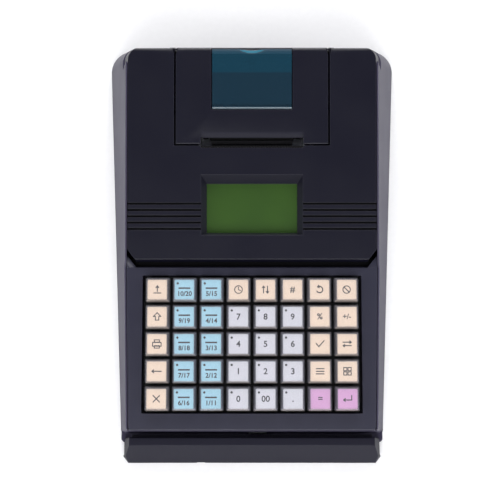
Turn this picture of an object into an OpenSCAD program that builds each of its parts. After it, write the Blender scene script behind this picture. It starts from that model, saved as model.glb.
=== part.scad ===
// Compact desktop electronic cash register: a wedge-shaped housing on a flared base, with an
// 8 by 5 keyboard, a graphic display, a card swipe slot and a drop-in receipt printer.
// Millimetres, +Z up, +Y to the rear, origin on the table under the middle of the unit.

/* [Base] */
// Overall length, from the card rail's toe to the foot of the rear wall
unit_len = 322; // [318:1:328]
// Height of the base's lower edge above the table
base_z = 3; // [2.5:0.5:4]
// Half width of the base at its lower edge, midway along the unit
base_half_w = 103.1; // [102:0.1:105]
// Widening of each side per millimetre towards the rear
base_taper = 0.057; // [0.05:0.001:0.06]
// Lean of each side wall, inwards per millimetre of height
side_lean = 0.256; // [0.25:0.001:0.26]
// Lean of the rear wall, forwards per millimetre of height
rear_lean = 0.43; // [0.42:0.01:0.44]
// Moulded wall thickness
wall = 2.6; // [2.2:0.1:3]
// Width of the base's rim that shows beside the top mouldings
rim = 1.2; // [1:0.1:1.4]

/* [Keyboard] */
// Slope of the keyboard
kb_tilt = 8; // [7:0.5:9]
// Length of the keyboard moulding along its slope
kb_len = 115.5; // [114:0.5:117]
// Height of the keyboard's front edge
kb_front_z = 28; // [27:0.5:29]
// Distance between key centres, both ways
key_pitch = 19.05; // [19:0.05:19.1]
// Columns of keys
key_cols = 8; // [8]
// Rows of keys
key_rows = 5; // [5]
// Width of a key at its skirt
key_w = 17.4; // [17:0.1:17.6]
// Width of a key's flat top
key_top_w = 14.6; // [14:0.1:15]
// Height of the key tops above the keyboard moulding
key_rise = 9; // [8.5:0.5:9.5]
// Depth of each key's stroke
key_travel = 3.6; // [3:0.1:3.8]

/* [Deck] */
// Slope of the display and printer deck
deck_tilt = 13; // [12.5:0.5:13.5]
// Length of the deck along its slope
deck_len = 151.4; // [150:0.2:153]
// Width of the groove between the keyboard and the deck
deck_gap = 4.1; // [3.8:0.1:4.5]
// Height of the deck's front edge above the keyboard's rear edge
deck_step = 4; // [3.5:0.1:4.5]
// Width of the display opening
lcd_w = 65; // [63:0.5:66]
// Length of the display opening along the slope
lcd_len = 35.3; // [34:0.1:36]
// Depth of the display below the deck
lcd_depth = 6; // [5:0.5:7]
// Distance between the decorative grooves
groove_pitch = 4.5; // [4.2:0.1:4.6]

/* [Printer] */
// Width of the printer cover
cover_w = 108.8; // [108:0.2:109.4]
// Width of the window in the cover
window_w = 58; // [56:0.5:60]
// Width of the paper slot
slot_w = 73.3; // [72:0.1:74]
// Radius of the rubber on the platen roller
platen_r = 5; // [4.5:0.1:5]
// Radius of the platen's steel shaft
shaft_r = 2; // [1.8:0.1:2.2]
// Tooth module of the paper feed gears
gear_module = 0.8; // [0.8]
// Teeth on the platen gear
platen_teeth = 16; // [16]
// Teeth on the drive gear
drive_teeth = 24; // [24]
// Teeth on the motor pinion
pinion_teeth = 10; // [10]

/* [Card slot] */
// Gap between the card rail and the housing at the slot's mouth
mouth_gap = 4.3; // [4.2:0.1:4.6]
// Gap that guides the card lower down
guide_gap = 1.6; // [1.4:0.1:1.8]
// Height of the card rail's top
rail_z = 22; // [21:0.5:23]
// Width of the rail's flat top, front to rear
rail_top = 6; // [5.5:0.5:6.5]

/* [Hidden] */
$fn = 48;
HULL_FN = 32;
EPS = 0.02;
SEAM = 0.3;
WIDE = 260;

rear_y = unit_len / 2;
toe_y = -unit_len / 2;
rail_rear_y = toe_y + 17.1;
front_y = rail_rear_y + mouth_gap;
kb_rear_y = front_y + kb_len * cos(kb_tilt);
kb_rear_z = kb_front_z + kb_len * sin(kb_tilt);
deck_front_y = kb_rear_y + deck_gap;
deck_front_z = kb_rear_z + deck_step;
deck_rear_y = deck_front_y + deck_len * cos(deck_tilt);
deck_rear_z = deck_front_z + deck_len * sin(deck_tilt);
hull_top_z = 92;
floor_z = base_z + wall;
skin = 2.8;
top_inset = rim + SEAM;
rear_part_z = deck_rear_z - 17.5;

well_margin_x = 2.6;
well_margin_y = 1.9;
key_block_w = (key_cols - 1) * key_pitch + key_w;
key_block_len = (key_rows - 1) * key_pitch + key_w;
key_mid = 60.6;
key_skirt = 1;
switch_w = 13.8;
switch_top = -5.4;
board_top = -13.4;
board_t = 1.6;
stem_w = 4.2;
stem_end = -9.2;

lcd_mid = 37.05;
bezel_side = 3.8;
bezel_rear = 6.2;
bezel_front = 1.6;
groove_first = 22.1;
groove_count = 5;
cover_front = 82.7;
slot_rear = 87.3;
chamfer_rear = 91.5;
window_front = 107.3;
cover_gap = 1.2;
notch_len = 6.5;
notch_w = 1.7;
groove_w = 1.4;
groove_depth = 1.4;
hinge_y = deck_rear_y + 3.6;
hinge_z = deck_rear_z - 14.2;
hinge_r = 3;
pin_r = 1.25;
pin_run = 0.05;

platen_t = 91;
platen_n = -9.5;
idler_n = platen_n - gear_module * (platen_teeth + drive_teeth) / 2;
pinion_offset = gear_module * (drive_teeth + pinion_teeth) / 2 / sqrt(2);
gear_x = 42;
gear_w = 3.6;
lug_x = 31.5;
lug_t = 3.4;
plate_x = 36.6;
plate_t = 1.6;

bay_w = 60;
bay_front_y = 82;
bay_rear_y = 124;
bay_floor_z = 21;

panel_y = rear_y - 20;
port_x0 = -78;
port_x1 = 30;
port_z0 = 8.4;
port_z1 = 27;
rocker_x = 20;
rocker_z = (port_z0 + port_z1) / 2;
rocker_tilt = 9;
pinion_turn = 135 % (360 / pinion_teeth);
board_z = 11;
board_posts = [[-66, 118], [66, 96], [-66, 30], [66, 30]];
window_low_z = deck_rear_z - 8.4;
tear_teeth = 36;
tear_pitch = 2;
head_x = 4;
head_z = 10;

post_z = 18;
deck_posts = [[-76, 8], [76, 8], [-76, 108], [76, 108]];
kb_posts = [[-84.4, -122], [84.4, -122]];
feet = [[-84, -124], [84, -124], [-92, 138], [92, 138]];

body_grey = [0.40, 0.39, 0.46];
deck_black = [0.14, 0.14, 0.18];
steel = [0.75, 0.76, 0.78];
board_green = [0.10, 0.32, 0.16];

// Half width of the side wall's outer face
function wall_x(y, z) = base_half_w + base_taper * y - side_lean * (z - base_z);
// Position of the rear wall's outer face
function rear_wall_y(z) = rear_y - rear_lean * (z - base_z);
// Radius of the housing's rear corners
function corner_r(z) = 18 - 0.1 * (z - base_z);
// Deck surface: y and z at a distance t along the slope and n above it
function deck_y(t, n) = deck_front_y + t * cos(deck_tilt) - n * sin(deck_tilt);
function deck_z(t, n) = deck_front_z + t * sin(deck_tilt) + n * cos(deck_tilt);
function deck_point(t, n) = [deck_y(t, n), deck_z(t, n)];
function kb_point(s, n) = [front_y + s * cos(kb_tilt) - n * sin(kb_tilt),
                           kb_front_z + s * sin(kb_tilt) + n * cos(kb_tilt)];

module on_keyboard()
    translate([0, front_y, kb_front_z]) rotate([kb_tilt, 0, 0]) children();

module on_deck()
    translate([0, deck_front_y, deck_front_z]) rotate([deck_tilt, 0, 0]) children();

module mirrored_x()
    for (side = [0, 1]) mirror([side, 0, 0]) children();

// A solid with its section in the YZ plane, drawn out across the unit
module across(width, points)
    rotate([90, 0, 90]) linear_extrude(width, center = true) polygon(points);

// A box given by its middle in x and its lowest and highest y and z
module slab(width, y0, y1, z0, z1)
    translate([-width / 2, y0, z0]) cube([width, y1 - y0, z1 - z0]);

// The flared block that every housing moulding is cut from
module flared_block(side_inset, rear_inset, front_inset)
    hull()
        for (z = [base_z, hull_top_z]) mirrored_x() {
            rear_r = corner_r(z) - side_inset;
            rear_mid_y = rear_wall_y(z) - rear_inset - rear_r;
            translate([wall_x(rear_mid_y, z) - side_inset - rear_r, rear_mid_y, z])
                cylinder(h = EPS, r = rear_r, $fn = HULL_FN);
            translate([wall_x(front_y, z) - side_inset - 3, front_y + front_inset + 3, z])
                cylinder(h = EPS, r = 3, $fn = HULL_FN);
        }

// Top line of the base's side walls, seen from the side
rim_line = [[front_y - 5, base_z - 1], [front_y - 5, kb_front_z - 1], kb_point(0, -0.3),
            kb_point(kb_len, -0.3), deck_point(0, -0.3), deck_point(142, -0.3),
            [deck_y(142, 0), rear_part_z], [rear_y + 5, rear_part_z], [rear_y + 5, base_z - 1]];

module bottom_case() color(body_grey) {
    difference() {
        union() {
            difference() {
                intersection() {
                    flared_block(0, 0, 0);
                    across(WIDE, rim_line);
                }
                intersection() {
                    flared_block(rim, wall / 2, -1);
                    across(WIDE, [kb_point(-10, -4.6), kb_point(kb_len + 3, -4.6),
                        deck_point(-2, -12), deck_point(126, -12),
                        [deck_y(132, 0), rear_part_z - 0.3], [rear_y, rear_part_z - 0.3],
                        [rear_y, hull_top_z + 20], kb_point(-10, 20)]);
                    slab(WIDE, front_y - 6, deck_y(142, 0) + 1, base_z, hull_top_z);
                }
                intersection() {
                    flared_block(wall, wall, wall);
                    slab(WIDE, front_y - 5, rear_y + 5, floor_z, hull_top_z);
                }
                port_bay_cut();
                translate([head_x, 0, 0])
                    slab(13.6, front_y - 2, front_y + wall + 1, head_z - 4.1, head_z + 4.2);
            }
            port_panel();
            slab(172, toe_y + 6, front_y + 1, base_z, base_z + 2);
            slot_sill();
            for (p = concat(deck_posts, kb_posts)) translate([p[0], p[1], base_z])
                cylinder(h = post_z - base_z, r = 4);
            for (p = board_posts) translate([p[0], p[1], base_z])
                cylinder(h = board_z - base_z, r = 3);
        }
        for (p = concat(deck_posts, kb_posts)) translate([p[0], p[1], base_z - 1]) {
            cylinder(h = 20, r = 1.7);
            cylinder(h = 4.2, r = 3.3);
        }
        for (p = feet) translate([p[0], p[1], base_z - 1])
            cylinder(h = 1.6, r = 7.4);
    }
}

// Floor of the card slot, out to the base's own width, with rounded front corners
module slot_sill()
    translate([0, 0, base_z]) linear_extrude(1.9) hull() mirrored_x() {
        translate([wall_x(front_y, base_z) - 3.6, rail_rear_y + 0.6]) circle(r = 3);
        translate([wall_x(front_y, base_z) - 3.6, front_y + 2]) circle(r = 3);
    }

// Recess in the rear wall where the leads plug in
module port_bay_cut()
    translate([port_x0, panel_y, port_z0])
        cube([port_x1 - port_x0, 40, port_z1 - port_z0]);

module port_panel()
    difference() {
        intersection() {
            translate([port_x0 - 2, panel_y - 2, floor_z - 1])
                cube([port_x1 - port_x0 + 4, 40, port_z1 + 3 - floor_z]);
            flared_block(1, 1, 1);
        }
        port_bay_cut();
        translate([-66, panel_y - 5, 14]) rotate([-90, 0, 0]) cylinder(h = 10, r = 4.2);
        translate([-54, panel_y - 5, 11]) cube([15, 10, 12.6]);
        translate([-32, panel_y - 5, 11]) cube([32, 10, 11.6]);
        translate([rocker_x - 6.6, panel_y - 5, rocker_z - 4.8]) cube([13.2, 10, 9.6]);
    }

deck_section = [deck_point(0, 0), deck_point(deck_len, 0), [rear_wall_y(rear_part_z), rear_part_z],
                [deck_y(0, 0), rear_part_z]];
deck_hollow = [deck_point(2.6, -skin), deck_point(deck_len - 4, -skin),
               [rear_wall_y(20) - wall, 20], [deck_y(2.6, -skin), 20]];

module top_case() color(deck_black) {
    difference() {
        union() {
            difference() {
                intersection() {
                    flared_block(top_inset, 0, 0);
                    across(WIDE, deck_outer);
                }
                intersection() {
                    flared_block(top_inset + 2.2, wall, wall);
                    across(WIDE, deck_hollow);
                }
            }
            on_deck() translate([-lcd_w / 2 - 7, 14.5, -lcd_depth - 3.4])
                cube([lcd_w + 14, lcd_len + 14, lcd_depth + 3]);
            paper_bucket();
            mirrored_x() hinge_lug();
            for (p = deck_posts) translate([p[0], p[1], post_z + 0.1])
                cylinder(h = deck_z((p[1] - deck_front_y) / cos(deck_tilt), -1) - post_z, r = 3.6);
        }
        front_corner_cuts();
        display_cut();
        deck_grooves();
        printer_opening();
        translate([-WIDE / 2, hinge_y, hinge_z]) rotate([0, 90, 0])
            translate([0, 0, WIDE / 2 - 61]) cylinder(h = 122, r = pin_r + 0.02);
        for (p = deck_posts) translate([p[0], p[1], post_z - 1]) cylinder(h = 12, r = 1.35);
    }
}

deck_outer = [[deck_y(0, 0), deck_front_z - 6], deck_point(0, -0.6), deck_point(0.6, 0),
              deck_point(deck_len - 2.2, 0), deck_point(deck_len - 0.7, -0.5),
              deck_point(deck_len + 0.1, -2), [rear_wall_y(rear_part_z), rear_part_z + SEAM],
              [deck_y(136, 0), rear_part_z + SEAM], deck_point(130, -7), deck_point(6, -7)];

// The deck's front corners are cut off at a slant, and the keyboard moulding's ears fill them
module front_corner_cuts()
    mirrored_x() on_deck()
        linear_extrude(60, center = true)
            polygon([[83, -2], [100, -2], [100, 14], [88.9, 7.6], [83, 0]]);

module display_cut()
    on_deck() {
        hull() {
            translate([-lcd_w / 2 - bezel_side, lcd_mid - lcd_len / 2 - bezel_front, 0])
                cube([lcd_w + 2 * bezel_side, lcd_len + bezel_front + bezel_rear, EPS]);
            translate([-lcd_w / 2, lcd_mid - lcd_len / 2, -lcd_depth])
                cube([lcd_w, lcd_len, EPS]);
        }
        translate([-lcd_w / 2, lcd_mid - lcd_len / 2, -lcd_depth - 2])
            cube([lcd_w, lcd_len, 3]);
        translate([-lcd_w / 2 - 2.6, lcd_mid - lcd_len / 2 - 2.6, -lcd_depth - 10])
            cube([lcd_w + 5.2, lcd_len + 5.2, 8.4]);
    }

module deck_grooves()
    mirrored_x() on_deck()
        for (i = [0:groove_count - 1])
            translate([lcd_w / 2 + bezel_side, groove_first + i * groove_pitch - groove_w / 2,
                       -groove_depth])
                cube([60, groove_w, 3]);

module printer_opening() {
    opening_w = cover_w + 2 * cover_gap;
    across(opening_w, [deck_point(cover_front - cover_gap, 30),
                       deck_point(cover_front - cover_gap, -7), deck_point(112, -7),
                       [deck_y(112, -7), rear_part_z - 2], [rear_y, rear_part_z - 2],
                       [rear_y, hull_top_z + 20]]);
    on_deck() translate([-slot_w / 2, cover_front - 2.6, -8]) cube([slot_w, 4, 20]);
    seam_notches();
}

// The seams beside the cover widen to a vee at the rear edge
module seam_notches()
    on_deck() mirrored_x() translate([cover_w / 2 + cover_gap / 2, deck_len, -6])
        linear_extrude(20)
            polygon([[-notch_w - cover_gap / 2, 4], [-notch_w - cover_gap / 2, 0],
                     [0, -notch_len], [notch_w + cover_gap / 2, 0],
                     [notch_w + cover_gap / 2, 4]]);

// Bucket under the cover for the paper roll, hung from the deck by its end walls
module paper_bucket() {
    difference() {
        translate([-bay_w / 2 - 2, bay_front_y - 2, bay_floor_z - 2])
            cube([bay_w + 4, bay_rear_y - bay_front_y + 3.4, 43.5]);
        translate([-bay_w / 2, (bay_front_y + bay_rear_y) / 2, bay_floor_z + 21])
            rotate([0, 90, 0]) cylinder(h = bay_w, r = 21);
        translate([-bay_w / 2, bay_front_y, bay_floor_z + 21])
            cube([bay_w, bay_rear_y - bay_front_y, 60]);
    }
    mirrored_x() {
        translate([bay_w / 2, 96, 54]) cube([28.5, 3, 8.5]);
        translate([56, 90, 54]) cube([2.5, 15, deck_z(114, -skin) - 54]);
    }
}

module hinge_lug()
    translate([cover_w / 2 + cover_gap, hinge_y, hinge_z]) {
        rotate([0, 90, 0]) cylinder(h = 4, r = hinge_r);
        translate([0, -5, -hinge_r]) cube([4, 5, 2 * hinge_r]);
    }

module keyboard_frame() color(deck_black * 1.4) {
    difference() {
        union() {
            intersection() {
                flared_block(top_inset, 0, 0);
                across(WIDE, [kb_point(0, -4.4), kb_point(0, -1), kb_point(0.8, 0),
                    kb_point(kb_len - 0.6, 0), kb_point(kb_len, -0.6), kb_point(kb_len, -3.4),
                    kb_point(kb_len + 6.4, -3.4), kb_point(kb_len + 6.4, -4.4),
                    kb_point(kb_len - 2, -4.4), kb_point(kb_len - 2.2, -2.8),
                    kb_point(3, -2.8), kb_point(2.6, -4.4)]);
            }
            intersection() {
                flared_block(top_inset, 0, 0);
                mirrored_x() on_keyboard() translate([0, 0, -3.6]) linear_extrude(3.6)
                    polygon([[83, kb_len - 1], [100, kb_len - 1], [100, kb_len + 8.3],
                             [88.6, kb_len + 7.2], [83, kb_len]]);
            }
            on_keyboard() well_walls();
            for (p = kb_posts) translate([p[0], p[1], post_z + 0.1])
                cylinder(h = kb_front_z - post_z, r = 3);
        }
        on_keyboard() well_cut(0, 4, 8);
        on_keyboard() well_cut(0, 20, -2);
        for (p = kb_posts) translate([p[0], p[1], post_z - 1]) cylinder(h = 10, r = 1.35);
    }
}

module well_cut(grow, depth, top)
    translate([-key_block_w / 2 - well_margin_x - grow,
               key_mid - key_block_len / 2 - well_margin_y - grow, -depth])
        cube([key_block_w + 2 * (well_margin_x + grow),
              key_block_len + 2 * (well_margin_y + grow), depth + top]);

// Walls that stand the keyboard moulding on its circuit board
module well_walls()
    difference() {
        well_cut(1.6, -board_top, -1);
        well_cut(0, 20, 5);
    }

module card_rail() color(deck_black * 1.3) {
    difference() {
        intersection() {
            across(WIDE, [[rail_rear_y, base_z + 2.2], [rail_rear_y, rail_z - 0.6],
                [rail_rear_y - 0.6, rail_z], [rail_rear_y - rail_top + 0.5, rail_z],
                [rail_rear_y - rail_top, rail_z - 0.5], [toe_y, base_z + 0.8],
                [toe_y + 0.4, base_z + 0.2], [toe_y + 5.8, base_z + 0.2],
                [toe_y + 5.8, base_z + 2.2]]);
            rail_ends();
        }
        intersection() {
            across(WIDE, [[rail_rear_y - 2.4, base_z - 1], [rail_rear_y - 2.4, rail_z - 2.4],
                [rail_rear_y - rail_top + 1.2, rail_z - 2.4], [toe_y + 6.2, base_z + 1.9],
                [toe_y + 6.2, base_z - 1]]);
            slab(170, toe_y, front_y, base_z - 2, rail_z);
        }
        on_rail_notch();
    }
    difference() {
        slab(172, rail_rear_y - 0.2, rail_rear_y + mouth_gap - guide_gap, base_z + 2.2, 14);
        translate([head_x, 0, 0]) slab(17, rail_rear_y + 1, front_y + 1, 5, 15);
    }
}

// Moulded notch in the rail's lower edge
module on_rail_notch()
    translate([-39.5, toe_y - 1, base_z - 1]) cube([5.5, 3.4, 2.2]);

module rail_ends()
    hull()
        for (level = [[base_z, 92.9], [rail_z + 2, 86.2]])
            translate([0, 0, level[0]]) linear_extrude(EPS)
                polygon([[-level[1], 0], [level[1], 0], [level[1], toe_y + 4.6],
                         [level[1] - 3.8, toe_y - 0.1], [3.8 - level[1], toe_y - 0.1],
                         [-level[1], toe_y + 4.6]]);

module card_reader() color(steel) {
    translate([head_x, front_y + wall + 0.2, 0]) slab(22, 0, 1.4, 6.4, 16);
    translate([head_x, 0, 0]) difference() {
        union() {
            slab(13, front_y - 0.2, front_y + wall + 0.2, head_z - 3.4, head_z + 3.4);
            translate([-6.5, front_y + 2.9, head_z]) rotate([0, 90, 0]) cylinder(h = 13, r = 4);
        }
        slab(20, front_y + wall + 0.2, front_y + 12, 0, 20);
        for (i = [-1:1]) translate([4 * i, 0, 0])
            slab(0.8, front_y - 1.3, front_y - 0.8, head_z - 1.5, head_z + 1.5);
    }
}

cover_section = [deck_point(cover_front, -0.5), deck_point(cover_front + 0.5, 0),
                 deck_point(deck_len - 2.2, 0), deck_point(deck_len - 0.7, -0.5),
                 deck_point(deck_len + 0.1, -2), [rear_wall_y(hinge_z + 1), hinge_z + 1],
                 [hinge_y - 1, hinge_z - 1], [hinge_y - 2.4, hinge_z + 2],
                 deck_point(deck_len - 2.8, -3.6), deck_point(deck_len - 4, -skin),
                 deck_point(cover_front, -skin)];

module printer_cover() color(deck_black) {
    difference() {
        union() {
            across(cover_w, cover_section);
            translate([-cover_w / 2, hinge_y, hinge_z]) rotate([0, 90, 0])
                cylinder(h = cover_w, r = hinge_r);
            on_deck() mirrored_x() platen_lug();
            on_deck() mirrored_x() translate([46, 101, -6.4]) cube([2, 40, 4]);
        }
        on_deck() {
            translate([-slot_w / 2, 70, -5]) cube([slot_w, slot_rear - 70, 10]);
            translate([-slot_w / 2, 0, 0]) rotate([90, 0, 90]) linear_extrude(slot_w)
                polygon([[slot_rear - 1, -2.3], [slot_rear, -2.3], [chamfer_rear, 0],
                         [chamfer_rear, 2], [slot_rear - 1, 2]]);
        }
        window_cut(window_w, 0);
        seam_notches();
        translate([-cover_w, hinge_y, hinge_z]) rotate([0, 90, 0])
            cylinder(h = 2 * cover_w, r = pin_r + pin_run);
        on_deck() translate([0, platen_t, platen_n]) rotate([0, 90, 0]) {
            translate([0, 0, -60]) cylinder(h = 120, r = shaft_r + pin_run);
            translate([0, 0, gear_x - 0.5]) cylinder(h = gear_w + 1, r = 7.6);
        }
    }
}

module platen_lug()
    translate([lug_x, 0, 0]) rotate([90, 0, 90]) {
        linear_extrude(lug_t)
            polygon([[platen_t - 2.4, -skin + 0.5], [platen_t + 7, -skin + 0.5],
                     [platen_t + 3.4, platen_n - 1], [platen_t - 3.4, platen_n]]);
        translate([platen_t, platen_n, 0]) cylinder(h = lug_t, r = 3.5);
    }

// Opening for the window: over the top of the cover and down its rear face
module window_cut(width, inset)
    across(width, [deck_point(window_front + inset, 30), deck_point(window_front + inset, -6),
                   deck_point(deck_len - 6, -6), [deck_y(deck_len - 6, -6), window_low_z + inset],
                   [rear_y, window_low_z + inset], [rear_y, hull_top_z + 20]]);

module cover_window() color([0.11, 0.24, 0.30, 0.6])
    intersection() {
        across(window_w - 2 * 0.1, [deck_point(window_front + 0.1, -2.6),
            deck_point(window_front + 0.1, -0.9), deck_point(window_front + 1, -0.35),
            deck_point(deck_len - 2.5, -0.35), deck_point(deck_len - 0.9, -0.9),
            deck_point(deck_len - 0.3, -2.2), [rear_wall_y(window_low_z) - 0.4, window_low_z],
            [rear_wall_y(window_low_z) - 2.2, window_low_z], deck_point(deck_len - 2.7, -3.4),
            deck_point(deck_len - 3.8, -2.6)]);
        window_cut(window_w + 10, 0.1);
    }

module hinge_pin() color(steel)
    translate([-59.6, hinge_y, hinge_z]) rotate([0, 90, 0]) cylinder(h = 119.2, r = pin_r);

// Spur gear about the X axis, with straight-flanked teeth
module gear(teeth, thickness, turn) {
    pitch_r = gear_module * teeth / 2;
    tooth = 360 / teeth;
    tip_r = pitch_r + 0.75 * gear_module;
    root_r = pitch_r - 1.15 * gear_module;
    rotate([0, 90, 0]) rotate([0, 0, turn]) linear_extrude(thickness)
        polygon([for (i = [0:teeth - 1], p = [[root_r, -0.30], [pitch_r, -0.205], [tip_r, -0.09],
                                              [tip_r, 0.09], [pitch_r, 0.205], [root_r, 0.30]])
            let (a = (i + p[1]) * tooth) [p[0] * cos(a), p[0] * sin(a)]]);
}

module platen_roller() {
    color([0.08, 0.08, 0.08]) on_deck() translate([-29.5, platen_t, platen_n]) rotate([0, 90, 0])
        difference() {
            cylinder(h = 59, r = platen_r);
            translate([0, 0, -1]) cylinder(h = 61, r = shaft_r);
        }
    color(steel) on_deck() translate([-37.9, platen_t, platen_n]) rotate([0, 90, 0])
        cylinder(h = 37.9 + gear_x, r = shaft_r);
    color("white") on_deck() translate([gear_x, platen_t, platen_n])
        gear(platen_teeth, gear_w, 0);
}

module drive_gear() color("white")
    on_deck() translate([gear_x, platen_t, idler_n]) difference() {
        gear(drive_teeth, gear_w, 180 / drive_teeth);
        translate([-1, 0, 0]) rotate([0, 90, 0]) cylinder(h = 10, r = 1.5 + pin_run);
    }

module motor_pinion() color([0.8, 0.7, 0.4])
    on_deck() translate([gear_x, platen_t - pinion_offset, idler_n - pinion_offset]) difference() {
        gear(pinion_teeth, gear_w, pinion_turn);
        translate([-1, 0, 0]) rotate([0, 90, 0]) cylinder(h = 10, r = 1 + pin_run);
    }

module print_mechanism() {
    color(steel) on_deck() difference() {
        union() {
            mirrored_x() translate([plate_x, 79, -19]) cube([plate_t, 19.6, 14]);
            translate([plate_x, 73, -42]) cube([plate_t, 24, 24]);
            translate([-plate_x - plate_t, 79, -19]) cube([2 * (plate_x + plate_t), 19.6, 1.6]);
            translate([plate_x, platen_t, idler_n]) rotate([0, 90, 0])
                cylinder(h = gear_x + gear_w + 1 - plate_x, r = 1.5);
        }
        mirrored_x() translate([plate_x - 1, platen_t, platen_n]) rotate([0, 90, 0])
            cylinder(h = 4, r = 3.2);
        mirrored_x() translate([plate_x - 1, platen_t - 3.2, platen_n]) cube([4, 6.4, 10]);
    }
    color([0.3, 0.3, 0.32]) on_deck() {
        translate([-29, 83.1, -17.4]) cube([58, 2.6, 12]);
        translate([-29, 80.6, -17.4]) cube([58, 2.4, 9]);
    }
    color([0.5, 0.5, 0.53])
        on_deck() translate([gear_x + gear_w + 0.6, platen_t - pinion_offset, idler_n - pinion_offset])
            rotate([0, -90, 0]) {
                cylinder(h = gear_x + gear_w + 0.6 - plate_x + 1, r = 1);
                translate([0, 0, gear_x + gear_w + 0.6 - plate_x]) cylinder(h = 20, r = 9);
            }
}

module tear_bar() color(steel)
    on_deck() translate([0, cover_front - 2.5, -4.2]) {
        translate([-slot_w / 2 + 0.2, 0, 0]) cube([slot_w - 0.4, 1.2, 3.4]);
        rotate([90, 0, 0]) translate([0, 0, -1.2]) linear_extrude(1.2)
            polygon(concat([[-slot_w / 2 + 0.2, 3.3]],
                [for (i = [0:2 * tear_teeth]) [(i - tear_teeth) * tear_pitch / 2, 3.9 + 0.7 * (i % 2)]],
                [[slot_w / 2 - 0.2, 3.3]]));
    }

module lcd_lens() color([0.33, 0.45, 0.20])
    on_deck() translate([-lcd_w / 2 - 2.4, lcd_mid - lcd_len / 2 - 2.4, -lcd_depth - 2.8])
        cube([lcd_w + 4.8, lcd_len + 4.8, 1.2]);

module lcd_module() {
    color([0.2, 0.2, 0.2]) on_deck() translate([-lcd_w / 2 - 2, lcd_mid - lcd_len / 2 - 2, -lcd_depth - 7])
        cube([lcd_w + 4, lcd_len + 4, 4.2]);
    color(board_green) on_deck() translate([-lcd_w / 2 - 5, lcd_mid - lcd_len / 2 - 5, -lcd_depth - 8.6])
        cube([lcd_w + 10, lcd_len + 10, 1.6]);
}

function key_x(col) = (col - (key_cols + 1) / 2) * key_pitch;
function key_s(row) = key_mid + ((key_rows + 1) / 2 - row) * key_pitch;

module key(row, col) color([0.85, 0.83, 0.8])
    on_keyboard() translate([key_x(col), key_s(row), 0]) {
        difference() {
            union() {
                translate([0, 0, key_rise - 5.5]) linear_extrude(5.5, scale = key_top_w / key_w)
                    square(key_w, center = true);
                translate([-key_w / 2, -key_w / 2, -key_skirt])
                    cube([key_w, key_w, key_rise - 5.5 + key_skirt]);
            }
            translate([-key_w / 2 + 1.2, -key_w / 2 + 1.2, -key_skirt - 1])
                cube([key_w - 2.4, key_w - 2.4, key_rise - 5.5 + key_skirt + 1]);
        }
        translate([-stem_w / 2, -stem_w / 2, stem_end])
            cube([stem_w, stem_w, key_rise - 5.5 - stem_end + 0.5]);
    }

module key_switch_board() {
    color([0.1, 0.1, 0.1]) on_keyboard()
        for (row = [1:key_rows], col = [1:key_cols])
            translate([key_x(col), key_s(row), board_top])
                difference() {
                    translate([-switch_w / 2, -switch_w / 2, 0.1])
                        cube([switch_w, switch_w, switch_top - board_top - 0.1]);
                    translate([-stem_w / 2 - 0.3, -stem_w / 2 - 0.3, 0.6])
                        cube([stem_w + 0.6, stem_w + 0.6, 20]);
                }
    color(board_green) on_keyboard()
        translate([0, 0, board_top - board_t])
            translate([-key_block_w / 2 - 4, key_mid - key_block_len / 2 - 3.6, -0.1])
                cube([key_block_w + 8, key_block_len + 7.2, board_t]);
}

module main_board() {
    color(board_green) slab(142, -16, panel_y - 8, board_z + 0.1, board_z + 1.7);
    color([0.1, 0.1, 0.1]) {
        translate([-66, panel_y - 10, 14]) rotate([-90, 0, 0]) cylinder(h = 9.4, r = 4);
        translate([-53.8, panel_y - 12, board_z + 1.7]) cube([14.6, 12.6, 10.6]);
        translate([-31, panel_y - 12, board_z + 1.7]) cube([30, 12, 9]);
        translate([-20, 20, board_z + 1.7]) cube([28, 28, 2]);
        translate([30, 0, board_z + 1.7]) cube([20, 8, 1.8]);
        translate([-55, 60, board_z + 1.7]) cube([12, 8, 5]);
    }
    color([0.85, 0.85, 0.8]) translate([30, 60, board_z + 1.7]) cube([22, 6, 6]);
}

module power_switch() color([0.05, 0.05, 0.05])
    translate([rocker_x, panel_y - 1, rocker_z]) rotate([rocker_tilt, 0, 0]) difference() {
        union() {
            rotate([0, 90, 0]) cylinder(h = 12.4, r = 3.4, center = true);
            translate([-6.2, -1, -4.2]) cube([12.4, 3.4, 8.4]);
        }
        rotate([0, 90, 0]) cylinder(h = 20, r = 1, center = true);
    }

module rubber_feet() color([0.1, 0.1, 0.1])
    for (p = feet) translate([p[0], p[1], 0]) {
        cylinder(h = 1, r1 = 6.2, r2 = 7);
        translate([0, 0, 1]) cylinder(h = base_z - 0.5, r = 7);
    }

module case_screws() color(steel)
    for (p = concat(deck_posts, kb_posts)) translate([p[0], p[1], base_z + 1]) difference() {
        union() {
            cylinder(h = 2.2, r = 2.9);
            cylinder(h = 22, r = 1.33);
        }
        for (turn = [0, 90]) rotate([0, 0, turn]) translate([-1.8, -0.3, -0.1]) cube([3.6, 0.6, 1.1]);
    }

bottom_case();
top_case();
keyboard_frame();
card_rail();
card_reader();
printer_cover();
cover_window();
hinge_pin();
platen_roller();
drive_gear();
motor_pinion();
print_mechanism();
tear_bar();
lcd_lens();
lcd_module();
key_switch_board();
main_board();
power_switch();
rubber_feet();
case_screws();
for (row = [1:key_rows], col = [1:key_cols])
    key(row, col);
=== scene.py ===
# %% [markdown]
# # A desktop cash register
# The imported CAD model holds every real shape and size, and this notebook dresses it. Lengths in
# the CAD are metres with Z up, the keyboard at the front (-Y) and the printer at the rear (+Y).
# A new piece that stands for a CAD node takes its place from that node's own vertices or box.

# %% Load the CAD frame
import math

import bmesh
import bpy
from mathutils import Matrix, Vector


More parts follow.
